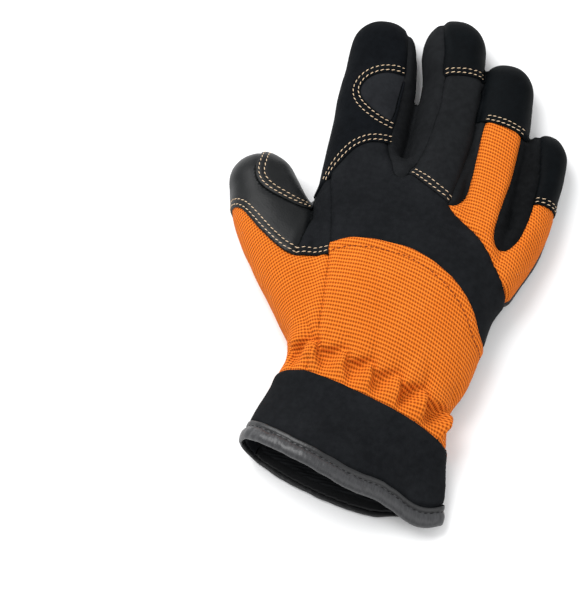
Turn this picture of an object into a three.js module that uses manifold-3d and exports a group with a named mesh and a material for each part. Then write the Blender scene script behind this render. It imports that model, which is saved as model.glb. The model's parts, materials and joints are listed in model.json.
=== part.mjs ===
// Child work glove for the right hand, lying palm down.
// Millimetres, +Z up, +Y towards the fingertips, +X towards the little finger.
import * as THREE from 'three';
import { mergeVertices } from 'three/addons/utils/BufferGeometryUtils.js';
import Module from 'manifold-3d';

const wasm = await Module();
wasm.setup();

// Driving sizes
const gloveLength = 190;     // hem to the tip of the middle finger
const palmWidth = 76;        // flat width over the palm
const handHeight = 28.5;     // thickest part of the palm above the table
const wall = 1.5;            // cloth and leather panels
const seamGap = 0.3;         // between panels that are sewn together
const fingerGap = 0.5;       // between fingers that lie side by side
const sideSeamHeight = 6.5;  // seam between the palm side and the back
const hemSeamHeight = 3.2;   // the same seam at the cuff, where the glove is flattest
const bindingWall = 0.9;     // grey tape
const bindingWidth = 7;      // how far the tape reaches from the hem
const liningWall = 0.9;
const liningDepth = 42;      // how deep the lining shows in the mouth
const foldHeight = 1.8;      // gathers above the wrist elastic
const foldCount = 6;
const palmWrap = 11;         // how far the thumb panel reaches under the palm side
const wrapSlope = 0.5;       // of that reach, how far its edge lies nearer the fingertips
const past = 8;              // how far a cutter runs past an open end

// Mesh fineness
const bodySides = 30;
const bodySteps = 2;
const innerBodySides = 16;
const fingerSides = 16;
const innerFingerSides = 10;
const fingerSteps = 1;
const tipRings = 3;
const topShare = 0.7;        // share of a section's points that lie on its upper side
const evenness = 0.7;        // 1 spaces those points evenly across the section

// Body sections from the hem to the web. X is a share of the palm width, Y and bow of the
// glove length, heights of the hand height. bow moves the middle towards the fingers, recess
// draws the upper side back, edge is the height of the widest line, flat is how much lower the
// little-finger side is, lift raises the section and folds is the share of the gathers' height.
const bodyColumns = [
  'leftX', 'leftY', 'rightX', 'rightY', 'bow', 'recess', 'height', 'edge', 'flat', 'lift', 'folds',
];
const bodyRows = [
  [-0.505, -0.002, 0.495, -0.066, -0.038, 0.020, 0.86, 0.30, 0.76, 0.042, 0],
  [-0.483, 0.042, 0.492, -0.024, -0.022, 0.010, 0.84, 0.32, 0.54, 0.044, 0],
  [-0.448, 0.100, 0.462, 0.035, -0.008, 0, 0.82, 0.34, 0.28, 0, 0],
  [-0.418, 0.143, 0.436, 0.078, 0, 0, 0.80, 0.36, 0.10, 0, 0.15],
  [-0.393, 0.182, 0.420, 0.138, 0.005, 0, 0.79, 0.36, 0.05, 0, 0.35],
  [-0.419, 0.230, 0.478, 0.195, 0.005, 0, 0.88, 0.36, 0, 0, 1],
  [-0.450, 0.290, 0.500, 0.270, 0.002, 0, 0.955, 0.36, 0, 0, 0.3],
  [-0.450, 0.360, 0.522, 0.340, 0.010, 0, 0.985, 0.35, 0, 0, 0],
  [-0.450, 0.425, 0.558, 0.375, 0.030, 0, 0.95, 0.34, 0, 0, 0],
  [-0.450, 0.505, 0.590, 0.400, 0.052, 0, 0.86, 0.33, 0, 0, 0],
  [-0.440, 0.600, 0.610, 0.425, 0.072, 0, 0.71, 0.30, 0, 0, 0],
  [-0.425, 0.632, 0.600, 0.445, 0.080, 0, 0.52, 0.28, 0, 0, 0],
].map((row) => Object.fromEntries(bodyColumns.map((name, i) => [name, row[i]])));

// Finger sections from inside the palm to the last one before the round tip.
// X and width are shares of the palm width, Y of the glove length, height of the hand height.
// lean moves the crest of the section towards the little finger.
const fingerRows = {
  thumb: [
    { x: -0.25, y: 0.250, width: 0.34, height: 0.78, lean: 0 },
    { x: -0.42, y: 0.350, width: 0.38, height: 0.80, lean: 0 },
    { x: -0.56, y: 0.430, width: 0.39, height: 0.76, lean: 0 },
    { x: -0.66, y: 0.495, width: 0.37, height: 0.70, lean: 0 },
    { x: -0.72, y: 0.540, width: 0.33, height: 0.64, lean: 0 },
  ],
  index: [
    { x: -0.250, y: 0.47, width: 0.360, height: 0.80, lean: -0.1 },
    { x: -0.258, y: 0.58, width: 0.378, height: 0.73, lean: -0.1 },
    { x: -0.265, y: 0.70, width: 0.384, height: 0.67, lean: -0.1 },
    { x: -0.276, y: 0.81, width: 0.368, height: 0.62, lean: -0.1 },
    { x: -0.294, y: 0.875, width: 0.330, height: 0.59, lean: -0.1 },
  ],
  middle: [
    { x: 0.110, y: 0.49, width: 0.310, height: 0.85, lean: 0.1 },
    { x: 0.100, y: 0.60, width: 0.325, height: 0.78, lean: 0.15 },
    { x: 0.086, y: 0.70, width: 0.316, height: 0.72, lean: 0.2 },
    { x: 0.073, y: 0.81, width: 0.306, height: 0.67, lean: 0.2 },
    { x: 0.037, y: 0.90, width: 0.314, height: 0.63, lean: 0.2 },
  ],
  ring: [
    { x: 0.370, y: 0.44, width: 0.290, height: 0.80, lean: 0.1 },
    { x: 0.355, y: 0.55, width: 0.305, height: 0.73, lean: 0.15 },
    { x: 0.335, y: 0.65, width: 0.312, height: 0.67, lean: 0.2 },
    { x: 0.332, y: 0.75, width: 0.315, height: 0.62, lean: 0.2 },
    { x: 0.322, y: 0.83, width: 0.295, height: 0.58, lean: 0.2 },
  ],
  little: [
    { x: 0.490, y: 0.41, width: 0.230, height: 0.72, lean: 0.1 },
    { x: 0.553, y: 0.52, width: 0.245, height: 0.64, lean: 0.2 },
    { x: 0.572, y: 0.62, width: 0.250, height: 0.58, lean: 0.25 },
    { x: 0.577, y: 0.70, width: 0.250, height: 0.53, lean: 0.25 },
  ],
};
const fingerTips = {
  thumb: { x: -0.788, y: 0.597 },
  index: { x: -0.292, y: 0.946 },
  middle: { x: 0.016, y: 0.976 },
  ring: { x: 0.312, y: 0.903 },
  little: { x: 0.576, y: 0.768 },
};
const fingerEdge = 0.36;   // height of a finger's widest line, as a share of its own height
const boxiness = 0.86;     // below 1 makes a section fuller than an ellipse
const flatShare = 1.6;     // how soon the underside reaches the table
const overreach = 1.9;     // how far the recess turns about where the section lies flat

const mix = THREE.MathUtils.lerp;
const smooth = THREE.MathUtils.smoothstep;

// One column of a table between two rows, on a curve through all the rows
function column(rows, name, at) {
  const last = rows.length - 1;
  const i = Math.max(Math.min(Math.floor(at), last - 1), 0);
  const t = at - i;
  const value = (k) => rows[Math.min(Math.max(k, 0), last)][name];
  const [a, b, c, d] = [value(i - 1), value(i), value(i + 1), value(i + 2)];
  const curve = (2 * a - 5 * b + 4 * c - d) * t * t + (3 * b - a - 3 * c + d) * t * t * t;
  return 0.5 * (2 * b + (c - a) * t + curve);
}

function rowAt(rows, at) {
  return Object.fromEntries(Object.keys(rows[0]).map((name) => [name, column(rows, name, at)]));
}

// A closed solid through rings of equally many points
function loft(rings) {
  const sides = rings[0].length;
  const points = rings.flat();
  const faces = [];
  for (let r = 0; r + 1 < rings.length; r += 1) {
    for (let s = 0; s < sides; s += 1) {
      const next = (s + 1) % sides;
      const [a, b] = [r * sides + s, r * sides + next];
      const [c, d] = [a + sides, b + sides];
      faces.push(a, d, b, a, c, d);
    }
  }
  const ends = [[rings[0], 0], [rings[rings.length - 1], (rings.length - 1) * sides]];
  ends.forEach(([ring, start], which) => {
    const centre = ring.reduce((sum, p) => sum.add(p), new THREE.Vector3()).divideScalar(sides);
    points.push(centre);
    for (let s = 0; s < sides; s += 1) {
      const pair = [start + s, start + ((s + 1) % sides)];
      if (which === 1) pair.reverse();
      faces.push(points.length - 1, ...pair);
    }
  });
  const geometry = new THREE.BufferGeometry().setFromPoints(points);
  geometry.setIndex(faces);
  return toSolid(geometry);
}

function toSolid(geometry) {
  const bare = geometry.clone();
  bare.deleteAttribute('normal');
  bare.deleteAttribute('uv');
  const merged = mergeVertices(bare, 1e-4);
  const vertProperties = Float32Array.from(merged.attributes.position.array);
  const triVerts = Uint32Array.from(merged.index.array);
  return new wasm.Manifold(new wasm.Mesh({ numProp: 3, vertProperties, triVerts }));
}

// A section of a lying tube: round above, flat below. across is the unit vector from its
// thumb side to its little-finger side, and grow moves the whole wall outwards.
function section({
  centre, across, halfWidth, height, edge, lean, flat, lift, bow, recess, folds, grow, sides,
}) {
  const ring = [];
  const above = Math.round(sides * topShare);
  for (let i = 0; i < sides; i += 1) {
    const t = i < above ? i / above : (i - above) / (sides - above);
    const angle = i < above ? mix(Math.PI * t, Math.acos(1 - 2 * t), evenness) : Math.PI * (1 + t);
    const c = Math.cos(angle);
    const s = Math.abs(Math.sin(angle));
    const u = Math.sign(c) * Math.abs(c) ** boxiness;
    const isTop = Math.sin(angle) >= 0;
    const lower = 1 - flat * smooth(u, -0.15, 0.55);
    const spread = Math.min(1, s * 1.5);
    const top = (edge + (height - edge) * s ** boxiness) * lower;
    const under = edge * (1 - Math.min(1, flatShare * s)) * lower;
    const gather = folds * foldHeight * (0.5 + 0.5 * Math.cos(u * foldCount * Math.PI)) * s;
    const z = isTop ? top + grow * spread + gather : under - grow * spread;
    const shift = lean * halfWidth * (isTop ? s : 0);
    const out = across.clone().multiplyScalar(u * (halfWidth + grow) + shift);
    const point = centre.clone().add(out);
    point.y += bow * (1 - u * u) + (isTop ? recess * s * (1 - overreach * (1 - lower)) : 0);
    point.z = z + lift;
    ring.push(point);
  }
  return ring;
}

// One ring of the palm and cuff, whose wall is moved outwards by grow
function bodyRing(at, grow, sides, further = 0) {
  const row = rowAt(bodyRows, at);
  const left = new THREE.Vector3(row.leftX * palmWidth, row.leftY * gloveLength + further, 0);
  const right = new THREE.Vector3(row.rightX * palmWidth, row.rightY * gloveLength + further, 0);
  const across = right.clone().sub(left);
  return section({
    centre: left.clone().add(right).multiplyScalar(0.5),
    across: across.clone().normalize(),
    halfWidth: across.length() / 2,
    height: row.height * handHeight,
    edge: row.edge * handHeight,
    lean: 0,
    flat: Math.max(row.flat, 0),
    lift: Math.max(row.lift, 0) * handHeight,
    bow: row.bow * gloveLength,
    recess: row.recess * gloveLength,
    folds: grow >= 0 ? Math.max(row.folds, 0) : 0,
    grow,
    sides,
  });
}

// The row number that lies a given length from the hem
function rowFrom(distance) {
  const middle = (at) => (column(bodyRows, 'leftY', at) + column(bodyRows, 'rightY', at)) / 2;
  const start = middle(0) * gloveLength;
  let at = 0;
  while (middle(at) * gloveLength - start < distance) at += 0.005;
  return at;
}

// A stretch of the palm and cuff between two lengths from the hem
function cuffTube(grow, from, to, sides) {
  const [first, last] = [rowFrom(from), rowFrom(to)];
  const rings = from < 0 ? [bodyRing(0, grow, sides, from)] : [];
  rings.push(bodyRing(first, grow, sides));
  const fineness = grow < 0 ? 1 : bodySteps;
  for (let k = Math.floor(first * fineness) + 1; k < last * fineness; k += 1) {
    rings.push(bodyRing(k / fineness, grow, sides));
  }
  rings.push(bodyRing(last, grow, sides));
  return loft(rings);
}

// The whole palm and cuff; mouth carries its open end past the hem
function body(grow, sides, mouth) {
  const fineness = grow < 0 ? 1 : bodySteps;
  const steps = (bodyRows.length - 1) * fineness;
  const rings = mouth > 0 ? [bodyRing(0, grow, sides, -mouth)] : [];
  for (let k = 0; k < steps; k += 1) rings.push(bodyRing(k / fineness, grow, sides));
  rings.push(bodyRing(bodyRows.length - 1, grow, sides, grow));
  return loft(rings);
}

// A finger from inside the palm to its round tip
function finger(name, grow, sides = fingerSides) {
  const rows = fingerRows[name];
  const tip = fingerTips[name];
  const fineness = grow < 0 ? 1 : fingerSteps;
  const steps = (rows.length - 1) * fineness;
  const place = (at) => {
    const row = rowAt(rows, at);
    return new THREE.Vector3(row.x * palmWidth, row.y * gloveLength, 0);
  };
  const base = place(rows.length - 1);
  const tipPoint = new THREE.Vector3(tip.x * palmWidth, tip.y * gloveLength, 0);
  const reach = tipPoint.clone().sub(base);
  const rings = [];
  const add = (at, shrink, along, reachShare) => {
    const row = rowAt(rows, at);
    const centre = reachShare === null ? place(at) : base.clone().addScaledVector(reach, reachShare);
    const height = row.height * handHeight;
    const edge = height * fingerEdge;
    rings.push(section({
      centre,
      across: new THREE.Vector3(along.y, -along.x, 0),
      halfWidth: (row.width * palmWidth / 2) * shrink,
      height: edge + (height - edge) * shrink,
      edge,
      lean: row.lean,
      flat: 0,
      lift: 0,
      bow: 0,
      recess: 0,
      folds: 0,
      grow: grow * shrink,
      sides,
    }));
  };
  for (let k = 0; k <= steps; k += 1) {
    const at = k / fineness;
    const step = 0.5 / fineness;
    const from = place(Math.max(at - step, 0));
    const to = place(Math.min(at + step, rows.length - 1));
    add(at, 1, to.sub(from).normalize(), null);
  }
  const along = reach.clone().normalize();
  const longer = 1 + grow / reach.length();
  for (let k = 1; k <= tipRings; k += 1) {
    const angle = (k / (tipRings + 0.35)) * Math.PI / 2;
    add(rows.length - 1, Math.cos(angle), along, Math.sin(angle) * longer);
  }
  return loft(rings);
}

// All five fingers, each cut where its neighbour lies over it
function fingers(grow, sides) {
  const clear = fingerGap - Math.min(grow, 0);
  const index = finger('index', grow, sides).subtract(finger('middle', clear));
  const middle = finger('middle', grow, sides);
  const ring = finger('ring', grow, sides).subtract(finger('middle', clear));
  const ringCover = finger('ring', clear).subtract(finger('middle', 0));
  const little = finger('little', grow, sides).subtract(ringCover);
  return [finger('thumb', grow, sides), index, middle, ring, little];
}

function hand(grow, bodyFineness, fingerFineness, mouth) {
  return fingers(grow, fingerFineness).reduce((sum, one) => sum.add(one), body(grow, bodyFineness, mouth));
}

// Seam lines seen from above: x as a share of the palm width, y of the glove length
const seams = {
  cuffTop: [[-0.6, 0.136], [-0.42, 0.138], [-0.29, 0.142], [-0.12, 0.127], [0.01, 0.115], [0.2, 0.097],
    [0.34, 0.08], [0.43, 0.064], [0.6, 0.03]],
  backTop: [[-0.312, 0.404], [-0.243, 0.42], [-0.11, 0.425], [0.023, 0.423], [0.1, 0.419], [0.189, 0.404],
    [0.288, 0.383], [0.37, 0.358], [0.43, 0.331], [0.49, 0.286], [0.7, 0.2]],
  thumbSide: [[-0.305, 0.383], [-0.286, 0.315], [-0.266, 0.238], [-0.255, 0.21], [-0.268, 0.165],
    [-0.289, 0.142], [-0.29, 0.1]],
  sideStrip: [[-0.312, 0.404], [-0.35, 0.48], [-0.38, 0.53], [-0.405, 0.556]],
  indexArc: [[-0.60, 0.485], [-0.43, 0.535], [-0.385, 0.573], [-0.345, 0.603], [-0.31, 0.627],
    [-0.255, 0.645], [-0.158, 0.654]],
  indexSide: [[-0.158, 0.654], [-0.154, 0.717], [-0.157, 0.806], [-0.17, 0.855], [-0.2, 0.92]],
  indexPatch: [[-0.165, 0.812], [-0.249, 0.808], [-0.315, 0.795], [-0.352, 0.775], [-0.362, 0.757],
    [-0.335, 0.738], [-0.264, 0.716], [-0.166, 0.7]],
  firstWeb: [[-0.158, 0.654], [-0.12, 0.62], [-0.09, 0.58], [-0.04, 0.575]],
  middleSide: [[-0.04, 0.575], [-0.02, 0.61], [0.005, 0.637], [0.03, 0.69], [0.043, 0.766], [0.027, 0.823],
    [0.006, 0.874], [-0.03, 0.93]],
  middleBase: [[-0.04, 0.606], [0.015, 0.587], [0.094, 0.566], [0.2, 0.542]],
  middleEdge: [[0.2, 0.542], [0.222, 0.6], [0.235, 0.66], [0.24, 0.72], [0.23, 0.8], [0.21, 0.9]],
  middleTip: [[0.012, 0.825], [0.1, 0.831], [0.2, 0.838], [0.32, 0.841]],
  ringTip: [[0.12, 0.748], [0.33, 0.745], [0.38, 0.741], [0.465, 0.732], [0.6, 0.715]],
  ringLeft: [[0.262, 0.86], [0.268, 0.73], [0.27, 0.675], [0.27, 0.62], [0.262, 0.57], [0.24, 0.545],
    [0.2, 0.542]],
  ringRight: [[0.5, 0.86], [0.469, 0.726], [0.473, 0.69], [0.471, 0.633], [0.459, 0.587], [0.443, 0.53],
    [0.444, 0.5], [0.464, 0.479], [0.504, 0.473]],
  littleLeft: [[0.504, 0.473], [0.54, 0.487], [0.571, 0.513], [0.586, 0.55], [0.598, 0.6], [0.592, 0.66],
    [0.563, 0.727], [0.53, 0.8]],
  littleTip: [[0.596, 0.59], [0.8, 0.598]],
  knuckleEnd: [[0.2, 0.538], [0.261, 0.52], [0.33, 0.501], [0.401, 0.477], [0.471, 0.447], [0.525, 0.412],
    [0.58, 0.385], [0.9, 0.3]],
  thumbPatch: [[-0.73, 0.7], [-0.75, 0.565], [-0.758, 0.545], [-0.74, 0.522], [-0.70, 0.506],
    [-0.63, 0.493], [-0.539, 0.484], [-0.491, 0.482], [-0.3, 0.5]],
  thumbStrip: [[-1.1, 0.49], [-0.823, 0.468], [-0.767, 0.458], [-0.722, 0.44], [-0.662, 0.416],
    [-0.589, 0.392], [-0.509, 0.371], [-0.462, 0.366]],
  stripFoot: [[-0.462, 0.366], [-0.412, 0.373], [-0.305, 0.383]],
  thumbEdge: [[-0.85, 0.475], [-0.70, 0.369], [-0.55, 0.289], [-0.43, 0.235]],
};

// Moves a closed outline outwards, or inwards where margin is below 0
function offset(points, margin) {
  const area = THREE.ShapeUtils.area(points);
  const side = Math.sign(area);
  return points.map((p, i) => {
    const before = points[(i + points.length - 1) % points.length];
    const after = points[(i + 1) % points.length];
    const a = p.clone().sub(before).normalize();
    const b = after.clone().sub(p).normalize();
    const normal = new THREE.Vector2(a.y + b.y, -a.x - b.x);
    const turn = Math.max(0.35, Math.sqrt((1 + a.dot(b)) / 2));
    return p.clone().addScaledVector(normal.normalize(), (side * margin) / turn);
  });
}

// An upright cutter over a closed outline given in shares
function cutter(outline, margin = 0) {
  const points = outline.map(([x, y]) => new THREE.Vector2(x * palmWidth, y * gloveLength));
  const shape = new THREE.Shape(margin === 0 ? points : offset(points, margin));
  const depth = handHeight * 4;
  const geometry = new THREE.ExtrudeGeometry(shape, { depth, bevelEnabled: false });
  geometry.translate(0, 0, -depth / 3);
  return toSolid(geometry);
}

// The space under the side seam, which drops towards the hem
function belowSideSeam(raise) {
  const profile = [
    [-0.5, -0.5 * handHeight], [1.5, -0.5 * handHeight], [1.5, sideSeamHeight + raise],
    [0.2, sideSeamHeight + raise], [0.06, hemSeamHeight + raise], [-0.5, hemSeamHeight + raise],
  ];
  const shape = new THREE.Shape(profile.map(([y, z]) => new THREE.Vector2(y * gloveLength, z)));
  const reach = palmWidth * 4;
  const geometry = new THREE.ExtrudeGeometry(shape, { depth: reach, bevelEnabled: false });
  geometry.translate(0, 0, -reach / 2);
  geometry.rotateY(Math.PI / 2);
  geometry.rotateX(Math.PI / 2);
  return toSolid(geometry);
}

// The largest body of a cut, without the slivers a cut can leave
function largest(solid) {
  return solid.decompose().sort((a, b) => b.volume() - a.volume())[0];
}

// The shell without its hem edge, which lies inside the tape
const tapeOut = bindingWall + seamGap;
const hemEdge = cuffTube(seamGap, -past, tapeOut, bodySides);
const outer = hand(0, bodySides, fingerSides, 0);
const inner = hand(-wall, innerBodySides, innerFingerSides, past);
const shell = outer.subtract(inner).subtract(hemEdge);

// The part of the thumb panel that reaches under the palm side
const wrapReach = palmWrap / palmWidth;
const wrapRise = (palmWrap * wrapSlope) / gloveLength;
const wrapInner = seams.thumbEdge.map(([x, y]) => [x + wrapReach, y + wrapRise]);
const thumbWrap = [[-1.2, 0.5], ...wrapInner, [-0.38, 0.15], [-0.6, 0.136], [-1.2, 0.2]];

const palmSolid = shell.intersect(belowSideSeam(0).subtract(cutter(thumbWrap)));
const backSolid = shell.subtract(belowSideSeam(seamGap).subtract(cutter(thumbWrap, -seamGap)));

const backwards = (line) => [...line].reverse();
const pieces = {};
let rest = backSolid;

// Cuts one panel out of what is left of the back, and leaves a seam gap round it
function take(name, outline, zone = null) {
  const exact = cutter(outline);
  const wide = cutter(outline, seamGap);
  pieces[name] = largest(rest.intersect(zone === null ? exact : exact.intersect(zone)));
  rest = rest.subtract(zone === null ? wide : wide.intersect(zone));
}

const near = fingerGap / 2;
const ringZone = finger('ring', near).subtract(finger('middle', near));
const littleZone = finger('little', near).subtract(ringZone);
take('cuff_band', [...seams.cuffTop, [0.9, -0.3], [-0.9, -0.3]]);
take('index_patch', seams.indexPatch, finger('index', near));
take('index_wrap', [
  ...seams.indexArc, ...seams.indexSide.slice(1), [-0.2, 1.1], [-0.6, 1.1],
], finger('index', near));
take('middle_tip_cap', [
  ...seams.middleTip, [0.32, 1.1], [-0.1, 1.1], ...backwards(seams.middleSide.slice(-2)),
], finger('middle', near));
take('ring_tip_cap', [...seams.ringTip, [0.6, 1.1], [0.12, 1.1]], ringZone);
take('little_tip_cap', [
  ...seams.littleTip, [0.8, 1], [0.5, 1], ...backwards(seams.littleLeft.slice(5)),
], littleZone);
take('gusset_index_middle', [
  ...backwards(seams.indexSide), ...seams.firstWeb.slice(1), ...seams.middleSide.slice(1), [-0.12, 1.1],
]);
take('gusset_middle_ring', [...seams.middleEdge, [0.225, 1.1], ...seams.ringLeft.slice(0, -1)]);
take('gusset_ring_little', [...seams.ringRight, ...seams.littleLeft.slice(1), [0.52, 0.9]]);
take('middle_back', [
  ...seams.middleBase, ...seams.middleEdge.slice(1), [0.19, 0.95], [-0.1, 0.95], [-0.1, 0.65],
]);
take('finger_back_panel', [...seams.knuckleEnd, [0.9, 0.9], [0.2, 0.9]]);
take('thumb_tip', [...seams.thumbPatch, [-0.3, 0.7]], finger('thumb', near));
take('thumb_back', [
  ...seams.thumbStrip, [-0.449, 0.404], [-0.43, 0.463], [-0.437, 0.6], [-0.45, 0.9], [-1.1, 0.9],
]);
take('side_strip', [...seams.stripFoot, ...seams.sideStrip, [-0.6, 0.6]]);
take('knuckle_band', [...seams.backTop, [0.9, 0.2], [0.9, 1], [-0.6, 1], [-0.6, 0.404]]);
take('thumb_panel', [...seams.thumbSide, [-1.2, 0.1], [-1.2, 0.6]]);
pieces.back_panel = largest(rest);
pieces.palm_panel = largest(palmSolid);

// Grey tape folded round the hem, over the panels' edge
const tapeIn = -wall - seamGap - bindingWall;
const tapeBlock = cuffTube(tapeOut, 0, bindingWidth, bodySides);
const tapeHollow = cuffTube(tapeIn, -past, bindingWidth + past, innerBodySides);
const slotOut = cuffTube(seamGap, bindingWall, bindingWidth + past, bodySides);
const slotIn = cuffTube(-wall - seamGap, 0, bindingWidth + past, innerBodySides);
pieces.cuff_binding = largest(tapeBlock.subtract(tapeHollow).subtract(slotOut.subtract(slotIn)));

// Knit lining, as deep as it shows in the mouth
const liningOut = cuffTube(-wall - seamGap, 0, liningDepth, innerBodySides);
const liningIn = cuffTube(-wall - seamGap - liningWall, 0, liningDepth + past, innerBodySides);
const tapeRoom = cuffTube(tapeOut, -past, bindingWidth + seamGap, bodySides);
pieces.cuff_lining = largest(liningOut.subtract(liningIn).subtract(tapeRoom));

const finishes = {
  leather: { color: 0x24282a, roughness: 0.55 },
  softshell: { color: 0x2a2a2b, roughness: 0.9 },
  knit: { color: 0xff8c32, roughness: 0.85 },
  tape: { color: 0x707274, roughness: 0.5 },
  lining: { color: 0x16181a, roughness: 0.95 },
};
const finishOf = {
  palm_panel: 'leather',
  index_wrap: 'leather',
  middle_tip_cap: 'leather',
  ring_tip_cap: 'leather',
  little_tip_cap: 'leather',
  thumb_tip: 'leather',
  thumb_back: 'leather',
  side_strip: 'leather',
  back_panel: 'knit',
  thumb_panel: 'knit',
  finger_back_panel: 'knit',
  cuff_binding: 'tape',
  cuff_lining: 'lining',
};

function toMesh(name, solid) {
  const { vertProperties, triVerts } = solid.getMesh();
  const geometry = new THREE.BufferGeometry();
  geometry.setAttribute('position', new THREE.BufferAttribute(vertProperties, 3));
  geometry.setIndex(new THREE.BufferAttribute(triVerts, 1));
  geometry.computeVertexNormals();
  const finish = finishes[finishOf[name] ?? 'softshell'];
  const mesh = new THREE.Mesh(geometry, new THREE.MeshStandardMaterial({ ...finish, metalness: 0 }));
  mesh.name = name;
  return mesh;
}

const glove = new THREE.Group();
glove.name = 'child_work_glove';
Object.entries(pieces).forEach(([name, solid]) => glove.add(toMesh(name, solid)));

// The origin is under the middle of the glove
const box = new THREE.Box3().setFromObject(glove);
const middle = box.getCenter(new THREE.Vector3());
glove.position.set(-middle.x, -middle.y, -box.min.z);
export default glove;
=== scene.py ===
"""The looks of a child work glove for the right hand, lying palm down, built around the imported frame.
All shapes are worked out in millimetres and made metres when a piece is finished."""

import json
import math

import bmesh
import bpy
import numpy as np
from mathutils import Matrix, Vector, noise
from mathutils.bvhtree import BVHTree
from mathutils.kdtree import KDTree

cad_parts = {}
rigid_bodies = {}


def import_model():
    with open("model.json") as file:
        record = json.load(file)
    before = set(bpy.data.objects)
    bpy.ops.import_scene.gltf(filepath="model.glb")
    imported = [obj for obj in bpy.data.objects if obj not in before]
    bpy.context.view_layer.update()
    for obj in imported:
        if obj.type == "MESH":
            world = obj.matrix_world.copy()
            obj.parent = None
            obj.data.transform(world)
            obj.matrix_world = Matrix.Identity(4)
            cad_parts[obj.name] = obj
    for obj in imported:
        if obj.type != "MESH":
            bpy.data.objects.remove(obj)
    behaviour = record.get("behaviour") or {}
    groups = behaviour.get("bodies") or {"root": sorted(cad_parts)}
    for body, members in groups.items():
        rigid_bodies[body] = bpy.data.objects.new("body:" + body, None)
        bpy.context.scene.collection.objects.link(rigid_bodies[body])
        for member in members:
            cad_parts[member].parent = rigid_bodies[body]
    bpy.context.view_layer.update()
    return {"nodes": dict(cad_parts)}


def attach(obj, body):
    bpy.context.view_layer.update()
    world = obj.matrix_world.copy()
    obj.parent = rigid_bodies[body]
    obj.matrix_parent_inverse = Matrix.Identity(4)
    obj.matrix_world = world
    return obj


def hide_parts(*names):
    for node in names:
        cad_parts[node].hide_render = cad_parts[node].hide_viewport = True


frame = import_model()

MM = 0.001

# Driving sizes, millimetres
GLOVE_LENGTH = 190
PALM_WIDTH = 76
HAND_HEIGHT = 28.5
FINGER_GAP = 1.3           # clear space kept between fingers that lie side by side
CLOTH = 1.3                # thickness of a panel
VOXEL = 0.7                # fineness of the skin
TABLE_ORIGIN = (6.84, -84.52, 0.0)   # where the origin of the tables lies in the frame

BODY_COLUMNS = ("left_x", "left_y", "right_x", "right_y", "bow", "recess", "height", "edge", "flat", "lift")
# Sections from the hem to the web. X is a share of the palm width, Y, bow and recess of the
# glove length, and heights of the hand height.
BODY_ROWS = [dict(zip(BODY_COLUMNS, row)) for row in (
    (-0.505, -0.002, 0.495, -0.066, -0.038, 0.0105, 0.86, 0.30, 0.76, 0.042),
    (-0.483, 0.042, 0.492, -0.024, -0.022, 0.005, 0.84, 0.32, 0.54, 0.044),
    (-0.448, 0.100, 0.462, 0.035, -0.008, 0, 0.82, 0.34, 0.28, 0),
    (-0.418, 0.143, 0.436, 0.078, 0, 0, 0.80, 0.36, 0.10, 0),
    (-0.393, 0.182, 0.420, 0.138, 0.005, 0, 0.79, 0.36, 0.05, 0),
    (-0.419, 0.230, 0.478, 0.195, 0.005, 0, 0.88, 0.36, 0, 0),
    (-0.450, 0.290, 0.500, 0.270, 0.002, 0, 0.955, 0.36, 0, 0),
    (-0.450, 0.360, 0.522, 0.340, 0.010, 0, 0.985, 0.35, 0, 0),
    (-0.450, 0.425, 0.558, 0.375, 0.030, 0, 0.95, 0.34, 0, 0),
    (-0.450, 0.505, 0.575, 0.400, 0.052, 0, 0.86, 0.33, 0, 0),
    (-0.440, 0.600, 0.594, 0.425, 0.072, 0, 0.71, 0.30, 0, 0),
    (-0.425, 0.632, 0.600, 0.445, 0.080, 0, 0.52, 0.28, 0, 0),
)]
FINGER_COLUMNS = ("x", "y", "width", "height", "lean")
# Sections from inside the palm to the last one before the round tip, in the same shares.
# lean moves the crest towards the little finger.
FINGER_ROWS = {
    "thumb": ((-0.25, 0.250, 0.34, 0.78, 0), (-0.42, 0.350, 0.38, 0.80, 0), (-0.56, 0.430, 0.39, 0.76, 0),
              (-0.66, 0.495, 0.37, 0.70, 0), (-0.72, 0.540, 0.33, 0.64, 0)),
    "index": ((-0.250, 0.47, 0.360, 0.80, -0.1), (-0.258, 0.58, 0.378, 0.73, -0.1),
              (-0.267, 0.70, 0.380, 0.67, -0.1), (-0.279, 0.81, 0.362, 0.62, -0.1),
              (-0.301, 0.875, 0.328, 0.59, -0.1)),
    "middle": ((0.110, 0.49, 0.310, 0.85, 0.1), (0.100, 0.60, 0.325, 0.78, 0.15),
               (0.087, 0.70, 0.314, 0.72, 0.2), (0.076, 0.81, 0.300, 0.67, 0.2),
               (0.038, 0.90, 0.312, 0.63, 0.2)),
    "ring": ((0.370, 0.44, 0.290, 0.80, 0.1), (0.355, 0.55, 0.305, 0.73, 0.15),
             (0.335, 0.65, 0.312, 0.67, 0.2), (0.332, 0.75, 0.315, 0.62, 0.2),
             (0.322, 0.83, 0.295, 0.58, 0.2)),
    "little": ((0.470, 0.41, 0.230, 0.72, 0.1), (0.553, 0.52, 0.245, 0.64, 0.2),
               (0.572, 0.62, 0.250, 0.58, 0.25), (0.577, 0.70, 0.250, 0.53, 0.25)),
}
FINGER_TIPS = {"thumb": (-0.788, 0.597), "index": (-0.292, 0.946), "middle": (0.016, 0.976),
               "ring": (0.312, 0.903), "little": (0.576, 0.768)}
FINGER_EDGE = 0.36         # height of a finger's sides, as a share of its own height
BOXINESS = 0.86            # below 1 a section is fuller than an ellipse
FLAT_SHARE = 1.6           # how soon the underside reaches the floor
FLATTENED = (-0.45, 1.0)   # the hem sinks from the first to the second share of its half width
OVERREACH = 1.9            # how many times as fast its recess fades as it sinks
FLOOR_CLEARANCE = 0.02     # nothing comes closer to the floor
BODY_SIDES = 120
FINGER_SIDES = 72


def smoothstep(low, high, value):
    t = np.clip((value - low) / (high - low), 0, 1)
    return t * t * (3 - 2 * t)


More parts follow.
